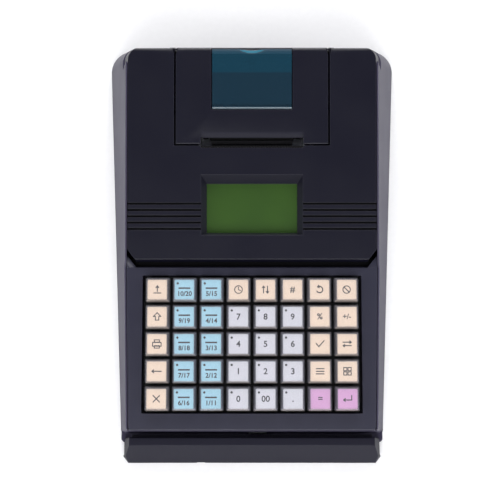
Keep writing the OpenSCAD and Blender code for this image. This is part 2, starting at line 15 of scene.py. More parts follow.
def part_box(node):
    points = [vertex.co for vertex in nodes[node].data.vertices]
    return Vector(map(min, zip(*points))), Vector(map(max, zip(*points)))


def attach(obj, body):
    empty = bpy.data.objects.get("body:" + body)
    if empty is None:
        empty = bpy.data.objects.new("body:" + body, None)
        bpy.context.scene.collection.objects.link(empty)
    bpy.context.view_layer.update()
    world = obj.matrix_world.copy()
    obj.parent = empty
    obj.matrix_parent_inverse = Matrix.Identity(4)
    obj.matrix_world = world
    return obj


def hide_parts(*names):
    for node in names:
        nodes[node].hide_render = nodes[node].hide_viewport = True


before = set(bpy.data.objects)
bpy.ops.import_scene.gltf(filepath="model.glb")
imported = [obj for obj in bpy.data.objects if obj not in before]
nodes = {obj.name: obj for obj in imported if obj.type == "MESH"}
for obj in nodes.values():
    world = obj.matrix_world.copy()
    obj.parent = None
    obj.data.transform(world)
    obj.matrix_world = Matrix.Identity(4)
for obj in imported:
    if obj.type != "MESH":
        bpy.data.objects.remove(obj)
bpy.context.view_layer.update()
MM = 0.001

# %% [markdown]
# ## Colours and shader nodes
# Paint makers and screens give colours as sRGB hex codes, but a shader adds light in linear
# values. One function turns the first into the second. A second one adds any shader node, sets
# its values and links it, so that each material below reads as a short recipe. Coordinates are
# in metres, so a pattern's scale is 1000 over its size in millimetres.

# %% Two small helpers


def linear(code):
    """The linear RGBA of an sRGB hex code."""
    channels = [int(code[i : i + 2], 16) / 255 for i in (1, 3, 5)]
    return [c / 12.92 if c <= 0.04045 else ((c + 0.055) / 1.055) ** 2.4 for c in channels] + [1]


def add(tree, kind, inputs=None, **settings):
    """A new shader node, or one already in the tree, with its settings, values and links."""
    node = tree.nodes.get(kind) or tree.nodes.new("ShaderNode" + kind)
    for name, value in settings.items():
        setattr(node, name, value)
    for key, value in (inputs or {}).items():
        if isinstance(value, bpy.types.NodeSocket):
            tree.links.new(value, node.inputs[key])
        else:
            node.inputs[key].default_value = value
    return node


def new_material(name):
    """An empty material, its node tree and its object coordinates in metres."""
    made = bpy.data.materials.new(name)
    made.use_nodes = True
    return made, made.node_tree, add(made.node_tree, "TexCoord").outputs["Object"]


PER_METRE = 1000
print("a near-black in linear light:", [round(c, 4) for c in linear("#1A1A21")])

# %% [markdown]
# ## Moulded ABS
# The housing is injection-moulded ABS. The mould is spark-eroded, which leaves a matt grain of
# about 0.3 mm on every outer face. Its edges are painted lighter: partly handling wear, partly a
# painted highlight where light catches them. The grain is drawn about three times coarser here, so
# that it still shows from arm's length. Slow patches of tone, 35 mm across, stand for uneven
# shrinkage and dust.

# %% The housing plastics

PATCH = 35


def moulded_abs(name, dark, light, roughness, grain=1.0, relief=0.05, shine=0.34):
    """Matt moulded ABS with spark-eroded grain, its edges painted lighter for wear and a painted
    highlight.
    """
    made, tree, place = new_material(name)
    patches = add(tree, "TexNoise", {"Vector": place, "Scale": PER_METRE / PATCH, "Detail": 4.0})
    grit = add(tree, "TexNoise", {"Vector": place, "Scale": PER_METRE / grain, "Detail": 3.0})
    tone = add(tree, "Math", {0: patches.outputs[0], 1: grit.outputs[0]}, operation="MULTIPLY")
    spread = add(tree, "MapRange", {"Value": tone.outputs[0], "From Min": 0.1, "From Max": 0.45})
    base = add(tree, "Mix", {0: spread.outputs[0], 6: linear(dark), 7: linear(light)},
               data_type="RGBA")
    # Lighter colour along rounded edges: part handling wear, part a painted highlight.
    rounded = add(tree, "Bevel", {"Radius": 0.5 * MM}, samples=2)
    facing = add(tree, "NewGeometry")
    bend = add(tree, "VectorMath", {0: rounded.outputs[0], 1: facing.outputs["Normal"]},
               operation="DOT_PRODUCT")
    edge = add(tree, "MapRange", {"Value": bend.outputs["Value"], "From Min": 0.995,
                                  "From Max": 0.80, "To Max": 0.5})
    colour = add(tree, "Mix", {0: edge.outputs[0], 6: base.outputs[2], 7: linear("#3C3C4A")},
                 data_type="RGBA")
    gloss = add(tree, "MapRange", {"Value": patches.outputs[0], "From Min": 0.3, "From Max": 0.7,
                                   "To Min": roughness - 0.02, "To Max": roughness + 0.03})
    bump = add(tree, "Bump", {"Height": grit.outputs[0], "Strength": 0.25,
                              "Distance": relief * MM})
    add(tree, "Principled BSDF", {"Base Color": colour.outputs[2], "Roughness": gloss.outputs[0],
                                  "IOR": 1.54, "Specular IOR Level": shine,
                                  "Normal": bump.outputs[0]})
    return made


# All four are one black moulded ABS, in copies painted for the light on each part: the base is
# painted grey-blue for the pale light its steep sides mirror, the frame round the keys is painted
# charcoal for the light it catches, the rail is a copy tuned to its own light, and the deck looks
# nearly black.
SIDE_LIT_ABS = moulded_abs("black_abs_painted_side_light", "#302C42", "#39354F", 0.50)
BLACK_ABS = moulded_abs("black_moulded_abs", "#0B0B1A", "#101022", 0.42, shine=0.26)
FRAME_LIT_ABS = moulded_abs("black_abs_painted_frame_light", "#252534", "#2D2D3D", 0.44)
RAIL_LIGHT_COPY_ABS = moulded_abs("black_abs_rail_light_copy", "#0E0D1E", "#141325", 0.56, shine=0.24)
print("housing plastics:", [m.name for m in (SIDE_LIT_ABS, BLACK_ABS, FRAME_LIT_ABS, RAIL_LIGHT_COPY_ABS)])

# %% [markdown]
# ## Metals, rubber, boards and small plastics
# Zinc-plated steel is bright with a soft mill grain, and ground shafts are shinier. Acetal gears
# are white and waxy. The boards are glass-epoxy under green solder mask: 0.4 mm tracks show as
# faint ridges. A film of oxide or phosphate leaves no bare metal to see, so the blackened steels
# are drawn as dark coatings and not as metals.

# %% A general recipe for the small parts


def plain_finish(name, dark, light, roughness, grain=1.0, relief=0.02, shine=0.5, **inputs):
    """A finish whose tone and roughness drift over its grain (mm), with a fine relief (mm)."""
    made, tree, place = new_material(name)
    grit = add(tree, "TexNoise", {"Vector": place, "Scale": PER_METRE / grain, "Detail": 4.0})
    colour = add(tree, "Mix", {0: grit.outputs[0], 6: linear(dark), 7: linear(light)},
                 data_type="RGBA")
    gloss = add(tree, "MapRange", {"Value": grit.outputs[0], "To Min": roughness - 0.06,
                                   "To Max": roughness + 0.06})
    bump = add(tree, "Bump", {"Height": grit.outputs[0], "Strength": 0.3,
                              "Distance": relief * MM})
    add(tree, "Principled BSDF", {"Base Color": colour.outputs[2], "Roughness": gloss.outputs[0],
                                  "Specular IOR Level": shine, "Normal": bump.outputs[0],
                                  **inputs})
    return made


# Blackened steel: a low sheen under oxide, and hardly any under phosphate.
BLACK_STEEL = plain_finish("black_oxide_steel", "#101013", "#1B1B1F", 0.4, 1.0)
PHOSPHATED_STEEL = plain_finish("phosphated_steel", "#060608", "#0B0B0E", 0.62, 1.0, shine=0.15)
# Bare metals: soft on zinc plate, keen on a ground shaft, tinned tin-grey, warm brass and gold.
ZINC_STEEL = plain_finish("zinc_plated_steel", "#A9ABAE", "#C9CBCD", 0.34, 2.0, Metallic=1.0)
GROUND_STEEL = plain_finish("ground_steel_shaft", "#B8B9BC", "#D2D3D6", 0.2, 0.6, Metallic=1.0)
TINNED_STEEL = plain_finish("tinned_frame", "#8C8F93", "#B5B8BC", 0.3, 1.2, Metallic=1.0)
SINTERED_BRASS = plain_finish("sintered_brass", "#B08D43", "#C9A75C", 0.36, 0.8, Metallic=1.0)
GOLD_CONTACT = plain_finish("gold_plated_contact", "#C79A3B", "#DDB65A", 0.25, 0.8, Metallic=1.0)
# Rubbers: ground nitrile on the platen and moulded silicone feet, both without a highlight.
PLATEN_RUBBER = plain_finish("platen_nitrile_rubber", "#0A0A0B", "#121213", 0.72, 0.7, 0.05,
                             shine=0.15)
FOOT_RUBBER = plain_finish("foot_silicone_rubber", "#1D1D1F", "#2A2A2C", 0.8, 0.9, 0.06)
# Small plastics: waxy white acetal, dull filled nylon and a rocker polished like a piano key.
ACETAL = plain_finish("white_moulded_acetal", "#DAD8D0", "#EDEBE4", 0.38, 3.0)
SOCKET_NYLON = plain_finish("socket_glass_filled_nylon", "#131315", "#202023", 0.5, 0.7)
ROCKER_GLOSS = plain_finish("rocker_polished_abs", "#0B0B0C", "#131315", 0.16, 5.0, 0.005)
# Glazed ceramic gleams softly, solder mask is glossy over its tracks, and pad-print ink is flat.
HEAD_CERAMIC = plain_finish("print_head_glazed_ceramic", "#0C0C0E", "#151518", 0.3, 1.5)
SOLDER_MASK = plain_finish("solder_masked_glass_epoxy", "#0E3A20", "#17532F", 0.35, 1.6, 0.06)
BLACK_MASK = plain_finish("black_solder_mask", "#060608", "#0C0C0F", 0.5, 1.6, 0.06)
WHITE_INK = plain_finish("white_pad_print", "#D6D6D8", "#ECECEE", 0.5, 1.0)
print("small finishes:", len(bpy.data.materials), "materials so far")

# %% [markdown]
# ## The display
# A yellow-green twisted-nematic panel: glass over a reflector, with a faint matrix of dots. Real
# dots stand 0.45 mm apart; they are drawn at 0.9 mm so that the matrix shows. A clear coat
# stands for the cover glass.

# %% The display's glass

DRIFT = 30


def display_glass(name, back, dot, pitch=0.9):
    """Liquid-crystal glass with a faint matrix of dots."""
    made, tree, place = new_material(name)
    split = add(tree, "SeparateXYZ", {0: place})
    across = add(tree, "Math", {0: split.outputs[0], 1: pitch * MM / 2}, operation="PINGPONG")
    along = add(tree, "Math", {0: split.outputs[1], 1: pitch * MM / 2}, operation="PINGPONG")
    nearest = add(tree, "Math", {0: across.outputs[0], 1: along.outputs[0]}, operation="MINIMUM")
    grid = add(tree, "MapRange", {"Value": nearest.outputs[0], "From Min": 0.02 * MM,
                                  "From Max": 0.12 * MM})
    drift = add(tree, "TexNoise", {"Vector": place, "Scale": PER_METRE / DRIFT, "Detail": 2.0})
    share = add(tree, "Math", {0: grid.outputs[0], 1: drift.outputs[0]}, operation="MULTIPLY")
    colour = add(tree, "Mix", {0: share.outputs[0], 6: linear(back), 7: linear(dot)},
                 data_type="RGBA")
    add(tree, "Principled BSDF", {"Base Color": colour.outputs[2], "Roughness": 0.32,
                                  "IOR": 1.5, "Coat Weight": 0.7, "Coat Roughness": 0.08})
    return made


# Reads as an unlit, mossy green with a clean glassy highlight.
DISPLAY_GREEN = display_glass("display_green_glass", "#294418", "#34531A")
print("display material:", DISPLAY_GREEN.name)

# %% [markdown]
# ## Clear and tinted plastics
# The window is teal-tinted polycarbonate, polished in the mould: it passes some light and
# mirrors the rest. It is drawn as one plastic in five copies with painted light: plain over the
# dark paper bay, lighter over the cover's rear, with its reflection turned down where it bends, a
# painted backlight in the thumb scoop and a painted highlight along its front edge. Each key has a
# clear cap of the same family. The caps are too thin to bend light visibly, so they are drawn as
# see-through coats: grey at the sides, and paler in front, where painted light stands for the
# light the front faces catch.

# %% The transparent plastics


def clear_plastic(name, tint, roughness, passes, smear=6.0, shine=0.5):
    """Polished see-through plastic with faint handling marks, smear mm apart."""
    made, tree, place = new_material(name)
    marks = add(tree, "TexNoise", {"Vector": place, "Scale": PER_METRE / smear, "Detail": 5.0})
    gloss = add(tree, "MapRange", {"Value": marks.outputs[0], "From Min": 0.35, "From Max": 0.75,
                                   "To Min": roughness, "To Max": roughness + 0.04})
    bump = add(tree, "Bump", {"Height": marks.outputs[0], "Strength": 0.1, "Distance": 0.004 * MM})
    add(tree, "Principled BSDF", {"Base Color": linear(tint), "Roughness": gloss.outputs[0],
                                  "IOR": 1.58, "Transmission Weight": passes,
                                  "Specular IOR Level": shine,
                                  "Normal": bump.outputs[0]})
    return made


CAP_SIDE = plain_finish("clear_cap_wall", "#7C7C85", "#888891", 0.22, 7.0, 0.003, Alpha=0.42)
# The front faces get a paler copy of the cap wall: painted light on the side facing the front.
CAP_FRONT_LIT = plain_finish("clear_cap_front_painted_light", "#B6AEAC", "#C2BAB8", 0.22, 7.0, 0.003, Alpha=0.28)
CAP_TOP = plain_finish("clear_cap_top", "#D8D8E0", "#E6E6EC", 0.12, 5.0, 0.005, Alpha=0.1)
TEAL_WINDOW = clear_plastic("teal_polycarbonate", "#203C4D", 0.16, 0.45)
# Lit and shaded copies of the one teal plastic: painted light over the rear, reflection turned
# down at the bend, a painted edge highlight and a painted backlight in the scoop.
TEAL_REAR_LIT = clear_plastic("teal_polycarbonate_painted_rear_light", "#1C475B", 0.16, 0.45)
TEAL_BEND_SHADED = clear_plastic("teal_polycarbonate_bend_painted_shade", "#1A4256", 0.5, 0.3, shine=0.05)
TEAL_EDGE_HIGHLIGHT = clear_plastic("teal_polycarbonate_painted_edge_highlight", "#3E5663", 0.3, 0.2)
TEAL_SCOOP_BACKLIGHT = clear_plastic("teal_polycarbonate_painted_backlight", "#14708A", 0.45, 0.15, shine=0.1)
print("clear plastics:", TEAL_WINDOW.name, TEAL_SCOOP_BACKLIGHT.name, CAP_SIDE.name, CAP_TOP.name)

# %% [markdown]
# ## Pieces made in mesh code
# Every new piece is lofted: a stack of rings joined by faces, closed at its ends. Rounded
# corners are part of the rings, so the light catches them as it does on a moulded part. A piece
# is drawn about its own origin, then placed by one matrix and made to ride on its CAD body.

# %% Rings, lofts and placing


def rounded_rectangle(width, length, radius, height, steps=4):
    """Points of a rectangle with round corners, anticlockwise, in metres."""
    points = []
    for quarter in range(4):
        side_x, side_y = ((1, 1), (-1, 1), (-1, -1), (1, -1))[quarter]
        for step in range(steps + 1):
            turn = math.pi / 2 * (quarter + step / steps)
            points.append(Vector((side_x * (width / 2 - radius) + radius * math.cos(turn),
                                  side_y * (length / 2 - radius) + radius * math.sin(turn),
                                  height)))
    return points


def loft(mesh, rings, finish=0, caps=True):
    """Joins rings of the same number of points, each to the next, into the bmesh."""
    rows = [[mesh.verts.new(point) for point in ring] for ring in rings]
    faces = []
    for low, high in zip(rows, rows[1:]):
        for i in range(len(low)):
            j = (i + 1) % len(low)
            faces.append(mesh.faces.new((low[i], low[j], high[j], high[i])))
    if caps:
        faces.append(mesh.faces.new(list(reversed(rows[0]))))
        faces.append(mesh.faces.new(rows[-1]))
    for face in faces:
        face.material_index = finish
    return rows


def finished(name, mesh, materials, sharp=35):
    """A mesh data block from the bmesh, smooth except across its sharp edges."""
    bmesh.ops.recalc_face_normals(mesh, faces=mesh.faces)
    for face in mesh.faces:
        face.smooth = True
    data = bpy.data.meshes.new(name)
    mesh.to_mesh(data)
    mesh.free()
    data.set_sharp_from_angle(angle=math.radians(sharp))
    for made in materials:
        data.materials.append(made)
    return data


def place(name, data, body, matrix=None, slot=None, stands_for=()):
    """An object for the mesh, placed by the matrix, riding on a CAD body."""
    piece = bpy.data.objects.new(name, data)
    bpy.context.scene.collection.objects.link(piece)
    piece.matrix_world = matrix or Matrix.Identity(4)
    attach(piece, body)
    if stands_for:
        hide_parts(*stands_for)
    return piece


print("a 17.4 mm key ring has", len(rounded_rectangle(0.0174, 0.0174, 0.0012, 0)), "points")

# %% [markdown]
# ## The housing keeps its CAD shape
# Moulded parts have no knife edges, so each case part gets a weld, a small bevel on its sharp
# edges and weighted normals. These are modifiers: the CAD mesh itself stays as it was packed.

# %% Bevels and plastics on the housing


def soften(name, width, segments=2):
    """Rounds the sharp edges of a CAD node by modifiers alone, width in millimetres."""
    part = nodes[name]
    weld = part.modifiers.new("weld", "WELD")
    weld.merge_threshold = 0.002 * MM
    bevel = part.modifiers.new("bevel", "BEVEL")
    bevel.width = width * MM
    bevel.segments = segments
    bevel.limit_method = "ANGLE"
    bevel.angle_limit = math.radians(32)
    bevel.use_clamp_overlap = False
    part.modifiers.new("normals", "WEIGHTED_NORMAL").keep_sharp = False


def wear(name, *materials):
    """Gives a CAD node its materials."""
    nodes[name].data.materials.clear()
    for made in materials:
        nodes[name].data.materials.append(made)


for name, finish, width in (("bottom_case", SIDE_LIT_ABS, 0.35), ("top_case", BLACK_ABS, 0.3),
                            ("keyboard_frame", FRAME_LIT_ABS, 0.3), ("card_rail", RAIL_LIGHT_COPY_ABS, 0.35),
                            ("printer_cover", BLACK_ABS, 0.3)):
    wear(name, finish)
    soften(name, width)
    print(name, "bevelled by", width, "mm")

# %% [markdown]
# ## Two sloping frames
# The deck leans 13 degrees and the keyboard 8. Two small frames, each with an axis up its slope
# and one square to it, let the later cells speak of places along and above the deck, in
# millimetres, and not of raw coordinates.

# %% Places on the deck

DECK_TILT, KEY_TILT = math.radians(13), math.radians(8)
ACROSS = Vector((1, 0, 0))
DECK_UP = Vector((0, -math.sin(DECK_TILT), math.cos(DECK_TILT)))
KEY_UP = Vector((0, -math.sin(KEY_TILT), math.cos(KEY_TILT)))
DECK_BACK = DECK_UP.cross(ACROSS)
KEY_BACK = KEY_UP.cross(ACROSS)
DECK_LENGTH = 151.4
REAR_ROUND = 2.2
deck_low, deck_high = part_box("top_case")
deck_drop = (DECK_LENGTH - REAR_ROUND) * math.sin(DECK_TILT) * MM
deck_origin = Vector((0, deck_low.y, deck_high.z - deck_drop))
deck_turn = Matrix((ACROSS, DECK_BACK, DECK_UP)).transposed().to_4x4()
deck_matrix = Matrix.Translation(deck_origin) @ deck_turn


def deck_place(point):
    """Distance along the deck and above it, in millimetres."""
    away = point - deck_origin
    return away.dot(DECK_BACK) / MM, away.dot(DECK_UP) / MM


def on_deck(x, t, n):
    """A point x across, t along the deck from its front edge and n above it, in millimetres."""
    return Vector((x * MM, 0, 0)) + deck_origin + DECK_BACK * t * MM + DECK_UP * n * MM


print("deck starts at", [round(v / MM, 1) for v in deck_origin], "mm")

# %% [markdown]
# ## Painted shade in the recesses
# The grooves beside the display, the paper slot and the shelf between keyboard and deck hold
# shadow, and their faces are painted darker still, as painted shade. These are faces of the CAD
# parts, picked by their place, which get a darker copy of the plastic.

# %% Painted shade on the shelf, in the grooves and in the paper slot


def sort_faces(name, materials, choose):
    """Gives each face of a CAD node the material whose number choose(centre) returns."""
    wear(name, *materials)
    part = nodes[name].data
    for face in part.polygons:
        face.material_index = choose(face.center)
    counts = [sum(f.material_index == i for f in part.polygons) for i in range(len(materials))]
    print(name, dict(zip([m.name for m in materials], counts)))


# Dark, dull copies of the black plastic as painted shade; the slot's lip gets a lighter painted
# shade than deeper in.
RECESS_PAINTED_SHADE = plain_finish("recess_abs_painted_shade", "#030306", "#07070C", 0.7, 0.9, 0.05, 0.1)
SLOT_LIP_PAINTED_SHADE = plain_finish("slot_lip_abs_painted_shade", "#11111E", "#171726", 0.6, 0.9, 0.05, 0.22)
# A near-black sheet of painted shade on the keyboard frame's rear shelf.
SHELF_PAINTED_SHADE = plain_finish("painted_shade_on_shelf", "#040406", "#0A0A0D", 0.9, 1.3, 0.2, 0.08)
BEZEL_SIDE_X = 36 * MM
SLOT_SIDE_X = 36.9 * MM
GROOVES = (20, 42)
SLOT = (80, 92)
LIP_DEPTH = 2.2
SHADED_SHELF_WIDTH = 9 * MM
SHADED_SHELF_DROP = 5.5
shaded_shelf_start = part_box("keyboard_frame")[1].dot(KEY_BACK) - SHADED_SHELF_WIDTH


def deck_painted_shade(centre):
    """Painted shade on the walls and floors of the grooves beside the display."""
    along, above = deck_place(centre)
    in_groove = GROOVES[0] < along < GROOVES[1] and -1.6 < above < -0.2
    return 1 if in_groove and abs(centre.x) > BEZEL_SIDE_X else 0


def cover_painted_shade(centre):
    """Painted shade in the paper slot: lighter on its lip, darker deeper in."""
    along, above = deck_place(centre)
    if not SLOT[0] < along < SLOT[1] or abs(centre.x) > SLOT_SIDE_X or above > -0.1:
        return 0
    return 1 if above > -LIP_DEPTH else 2


def frame_painted_shade(centre):
    """Painted shade on the frame's rear shelf, which lies well below the deck."""
    below = deck_place(centre)[1] < -SHADED_SHELF_DROP
    return 1 if below and centre.dot(KEY_BACK) > shaded_shelf_start else 0


sort_faces("top_case", [BLACK_ABS, RECESS_PAINTED_SHADE], deck_painted_shade)
sort_faces("printer_cover", [BLACK_ABS, SLOT_LIP_PAINTED_SHADE, RECESS_PAINTED_SHADE], cover_painted_shade)
sort_faces("keyboard_frame", [FRAME_LIT_ABS, SHELF_PAINTED_SHADE], frame_painted_shade)

# %% [markdown]
# ## Other CAD parts that stay
# A node may hold several solids of different stuff, such as the rubber, shaft and gear of the
# platen roller. Faces are sorted by where they lie, measured on the CAD mesh itself.

# %% The platen roller and the one-material parts

TOOTH_WIDTH = 3.7 * MM
SHAFT_REACH = 2.3 * MM
roller_low, roller_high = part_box("platen_roller")
gear_edge = roller_high.x - TOOTH_WIDTH
axis = Vector((0, *[(a + b) / 2 for a, b in zip(roller_low.yz, roller_high.yz)]))


def roller_part(centre):
    """Gear beyond the roller's end, and else rubber outside the shaft's radius."""
    if centre.x > gear_edge:
        return 2
    return 0 if math.hypot(centre.y - axis.y, centre.z - axis.z) > SHAFT_REACH else 1


sort_faces("platen_roller", [PLATEN_RUBBER, GROUND_STEEL, ACETAL], roller_part)
for name, made in (("card_reader", ZINC_STEEL), ("hinge_pin", BLACK_STEEL),
                   ("drive_gear", ACETAL), ("motor_pinion", SINTERED_BRASS),
                   ("tear_bar", PHOSPHATED_STEEL), ("lcd_lens", DISPLAY_GREEN),
                   ("power_switch", ROCKER_GLOSS), ("rubber_feet", FOOT_RUBBER),
                   ("case_screws", ZINC_STEEL)):
    wear(name, made)
soften("power_switch", 0.5)
soften("rubber_feet", 0.6)

# %% Boards and the print mechanism

BOARD = 1.65 * MM
HEAD_SIDE_X = 29.2 * MM
HEAD_DROP = 9 * MM


def sort_board(name, up, mask):
    """Solder mask on a board's own thickness, and black nylon on the parts that stand on it."""
    under = min(v.co.dot(up) for v in nodes[name].data.vertices)
    sort_faces(name, [SOCKET_NYLON, mask], lambda c: 1 if c.dot(up) < under + BOARD else 0)


def mechanism_part(centre):
    """The ceramic head lies between the side plates, close under the platen."""
    near_top = centre.dot(DECK_UP) > axis.dot(DECK_UP) - HEAD_DROP
    return 1 if abs(centre.x) < HEAD_SIDE_X and near_top else 0


sort_board("lcd_module", DECK_UP, SOLDER_MASK)
sort_board("key_switch_board", KEY_UP, BLACK_MASK)
sort_board("main_board", Vector((0, 0, 1)), SOLDER_MASK)
sort_faces("print_mechanism", [ZINC_STEEL, HEAD_CERAMIC], mechanism_part)

# %% [markdown]
# ## Keys in three pieces
# A cash register's keys are relegendable: a clear cap clips over a printed card, which lies on
# an opaque plunger. Modelling the three apart gives the pale, glassy rim round each card. All
# forty share one cap mesh, and all keys of a colour share one plunger. They are drawn about the
# middle of the key's top and placed by a matrix that comes from the CAD key's own vertices.

# %% The clear cap

SKIRT, TOP, FLARE, DEPTH = 17.4, 14.6, 5.5, 10.0
INSIDE = 16.6
TINY = 1e-7


def square(width, radius, height):
    return rounded_rectangle(width * MM, width * MM, radius * MM, height * MM)


cap_mesh = bmesh.new()
outer = loft(cap_mesh, [square(INSIDE, 1.0, -DEPTH), square(SKIRT - 0.3, 1.3, -DEPTH),
                        square(SKIRT, 1.4, -DEPTH + 0.2), square(SKIRT, 1.4, -FLARE - 0.2),
                        square(SKIRT - 0.2, 1.4, -FLARE + 0.3), square(TOP + 0.4, 1.2, -0.6),
                        square(TOP + 0.1, 1.1, -0.25), square(TOP - 0.5, 0.9, -0.02),
                        square(TOP - 1.2, 0.7, 0.0)], caps=False)
cap_mesh.faces.new(outer[-1])
inner = loft(cap_mesh, [square(INSIDE, 1.0, -DEPTH), square(INSIDE, 1.0, -FLARE - 0.1),
                        square(TOP - 0.55, 0.5, -0.95)], caps=False)
cap_mesh.faces.new(inner[-1])
bmesh.ops.remove_doubles(cap_mesh, verts=cap_mesh.verts, dist=TINY)
for face in cap_mesh.faces:
    middle = face.calc_center_median()
    in_front = -middle.y > abs(middle.x)
    # Front faces take the paler copy, painted light; the top takes the clear coat.
    face.material_index = 1 if len(face.verts) > 4 else 2 if in_front else 0
cap_data = finished("key_cap", cap_mesh, [CAP_SIDE, CAP_TOP, CAP_FRONT_LIT])
print("cap faces:", len(cap_data.polygons))

# %% The plunger in four colours

STEM, STEM_END = 4.2, -18.1
CROWN = 16.2
base_mesh = bmesh.new()
loft(base_mesh, [square(STEM, 0.4, STEM_END), square(STEM, 0.4, -9.9),
                 square(CROWN, 0.9, -9.85), square(CROWN, 0.9, -FLARE - 0.2),
                 square(TOP - 0.9, 0.5, -1.3)])
# Satin moulded ABS, a shade darker than the card it carries.
PLUNGERS = {"c": plain_finish("beige_moulded_abs", "#B09C8C", "#BCA898", 0.5, 6.0, 0.004),
            "b": plain_finish("blue_moulded_abs", "#7E9DB2", "#8AA9BE", 0.5, 6.0, 0.004),
            "g": plain_finish("grey_moulded_abs", "#9A9AA4", "#A6A6B0", 0.5, 6.0, 0.004),
            "p": plain_finish("mauve_moulded_abs", "#A583A4", "#B18FB0", 0.5, 6.0, 0.004)}
base_data = finished("key_base", base_mesh, [PLUNGERS["c"]], 30)
base_meshes = {"c": base_data}
for letter in "bgp":
    base_meshes[letter] = base_data.copy()
    base_meshes[letter].materials[0] = PLUNGERS[letter]
print("plunger faces:", len(base_data.polygons), "in", len(base_meshes), "colours")

# %% [markdown]
# ## Printed cards
# The cards are thin printed plastic in cream, blue, grey and pink. The signs on them are
# generic: digits from the built-in typeface, and arrows, bars and frames drawn as ribbons. Ink
# is given a few hundredths of a millimetre, so it stays a real closed shape in the mesh.

# %% Card finishes


def card_stock(name, dark, light):
    """Printed card under clear plastic: a soft tooth and a faint print mottle."""
    return plain_finish(name, dark, light, 0.55, 0.9, 0.01, **{"Coat Weight": 0.15})


CARDS = {"c": card_stock("cream_printed_card", "#D4BAA2", "#DDC6AF"),
         "b": card_stock("blue_printed_card", "#7CB2C6", "#8ABCCF"),
         "g": card_stock("grey_printed_card", "#B6B6BF", "#C1C1C9"),
         "p": card_stock("pink_printed_card", "#BA7CB2", "#C38DBC")}
CARD_SLOTS = {"c": "key_cream", "b": "key_blue", "g": "key_grey", "p": "key_pink"}
# Flat, slightly warm black, a few hundredths of a millimetre thick.
CARD_INK = plain_finish("black_screen_ink", "#1C1A1E", "#28262B", 0.6, 0.8)
print("cards:", [made.name for made in CARDS.values()])

# %% Ink drawn as ribbons and digits

INK_LOW, INK_HIGH = -0.97, -0.93
INK_SPREAD = 0.13
SIZE_PER_HEIGHT = 1.38


def prism(mesh, outline):
    """A closed sliver of ink over an outline in millimetres, anticlockwise."""
    loft(mesh, [[Vector((x * MM, y * MM, h * MM)) for x, y in outline]
                for h in (INK_LOW, INK_HIGH)], finish=1)


def ribbon(mesh, points, width=0.75, closed=False):
    """Ink along a line of points, as one closed prism per straight stretch."""
    pairs = list(zip(points, points[1:] + points[:1])) if closed else list(zip(points, points[1:]))
    for a, b in pairs:
        start, end = Vector(a), Vector(b)
        along = (end - start).normalized() * width / 2
        side = Vector((-along.y, along.x))
        start, end = start - along * 0.99, end + along * 0.99
        prism(mesh, [start - side, end - side, end + side, start + side])


def arc(radius, start, end, middle=(0, 0), steps=14):
    """Points along an arc, from one angle in degrees to another."""
    turns = [math.radians(start + (end - start) * i / steps) for i in range(steps + 1)]
    return [(middle[0] + radius * math.cos(t), middle[1] + radius * math.sin(t)) for t in turns]


def digits(mesh, text, height, middle=(0, 0)):
    """Digits of the built-in typeface, set about a point, as closed prisms."""
    curve = bpy.data.curves.new("digits", "FONT")
    curve.body = text
    curve.size = height * SIZE_PER_HEIGHT * MM
    curve.align_x = curve.align_y = "CENTER"
    curve.extrude = (INK_HIGH - INK_LOW) / 2 * MM
    curve.resolution_u = 3
    curve.offset = INK_SPREAD * MM
    holder = bpy.data.objects.new("digits", curve)
    flat = bpy.data.meshes.new_from_object(holder)
    shift = Vector((middle[0] * MM, middle[1] * MM, (INK_LOW + INK_HIGH) / 2 * MM))
    flat.transform(Matrix.Translation(shift))
    first = len(mesh.faces)
    mesh.from_mesh(flat)
    mesh.faces.ensure_lookup_table()
    for face in mesh.faces[first:]:
        face.material_index = 1
    bpy.data.objects.remove(holder)
    bpy.data.curves.remove(curve)
    bpy.data.meshes.remove(flat)


print("ink is", round(INK_HIGH - INK_LOW, 3), "mm thick")

# %% The signs, each a few strokes on a card 13.8 mm wide

FINE = 0.65


def arrow(mesh, start, end, head=1.5):
    """A straight arrow between two points, with wings of the given length."""
    ribbon(mesh, [start, end])
    back = (Vector(start) - Vector(end)).normalized() * head
    for turn in (40, -40):
        wing = Matrix.Rotation(math.radians(turn), 2) @ back
        ribbon(mesh, [tuple(Vector(end) + wing), end])


def frame_sign(mesh, x, y, half_x, half_y):
    """A rectangular frame about a point."""
    ribbon(mesh, [(x - half_x, y - half_y), (x + half_x, y - half_y),
                  (x + half_x, y + half_y), (x - half_x, y + half_y)], FINE, True)


